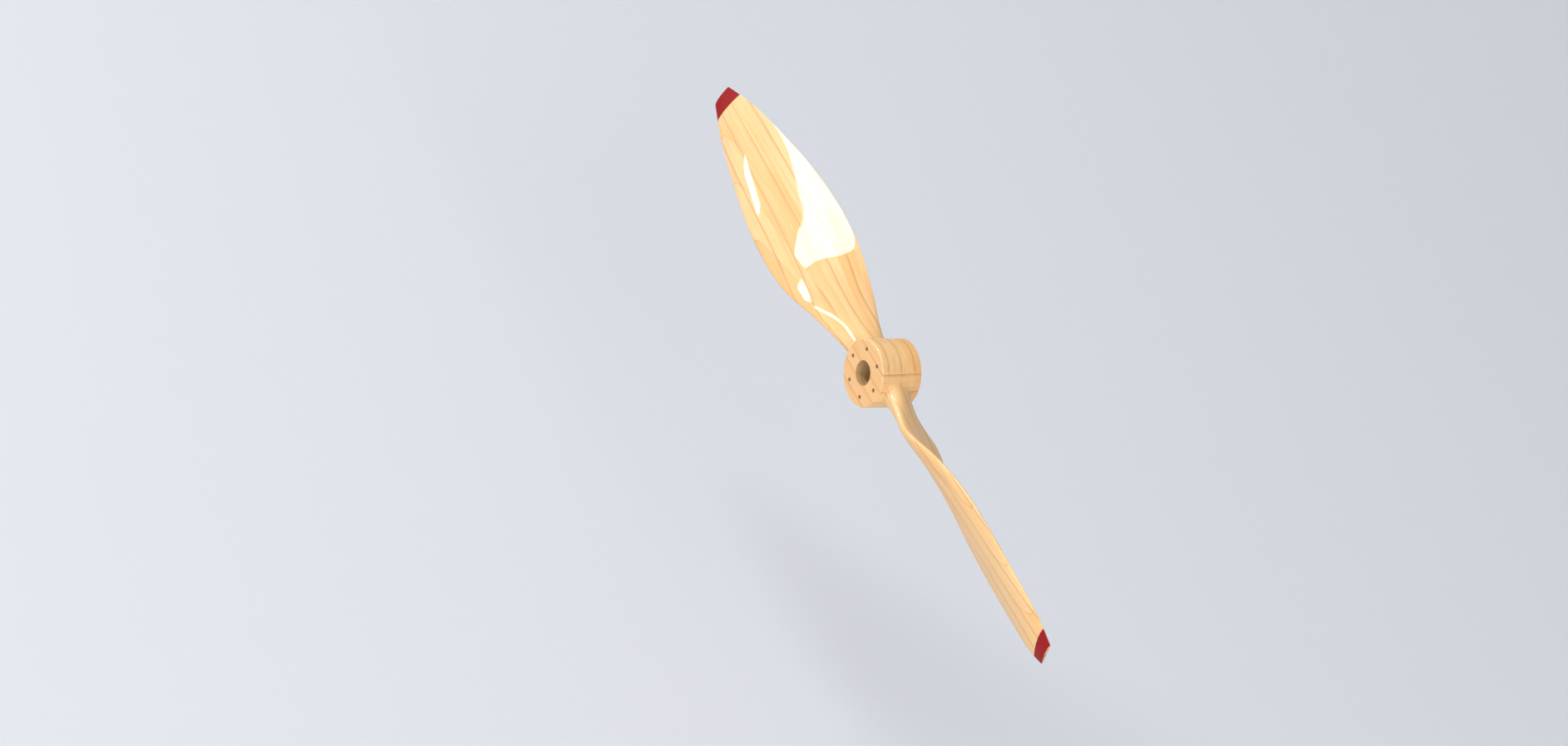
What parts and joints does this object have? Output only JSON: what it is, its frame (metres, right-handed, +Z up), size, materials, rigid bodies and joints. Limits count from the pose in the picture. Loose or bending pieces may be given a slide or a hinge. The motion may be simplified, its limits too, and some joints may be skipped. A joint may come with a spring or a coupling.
{
  "type": "propeller",
  "caption": "Fixed-pitch wooden tractor propeller, carved from glued boards, with a drum hub for a flange mount and red tip sheaths.",
  "frame": {"origin": "centre of the bore on the rear face of the hub, which sits on the engine's flange", "axes": "+Y along the shaft, out of the rear face towards the engine, front of the propeller at -Y; blades along +X and -X; +Z up. Turns anticlockwise seen from the front"},
  "size_m": [1.778, 0.1356, 0.1864],
  "materials": {
    "varnished_wood": "clear gloss varnish over pale, straight-grained wood",
    "red_tip": "satin red resin over glass cloth"
  },
  "bodies": {
    "root": {"board_1": "varnished_wood", "board_2": "varnished_wood", "board_3": "varnished_wood", "board_4": "varnished_wood", "board_5": "varnished_wood", "board_6": "varnished_wood", "front_cheek_left": "varnished_wood", "front_cheek_right": "varnished_wood", "rear_cheek_left": "varnished_wood", "rear_cheek_right": "varnished_wood", "tip_sheath_left": "red_tip", "tip_sheath_right": "red_tip"}
  },
  "joints": []
}
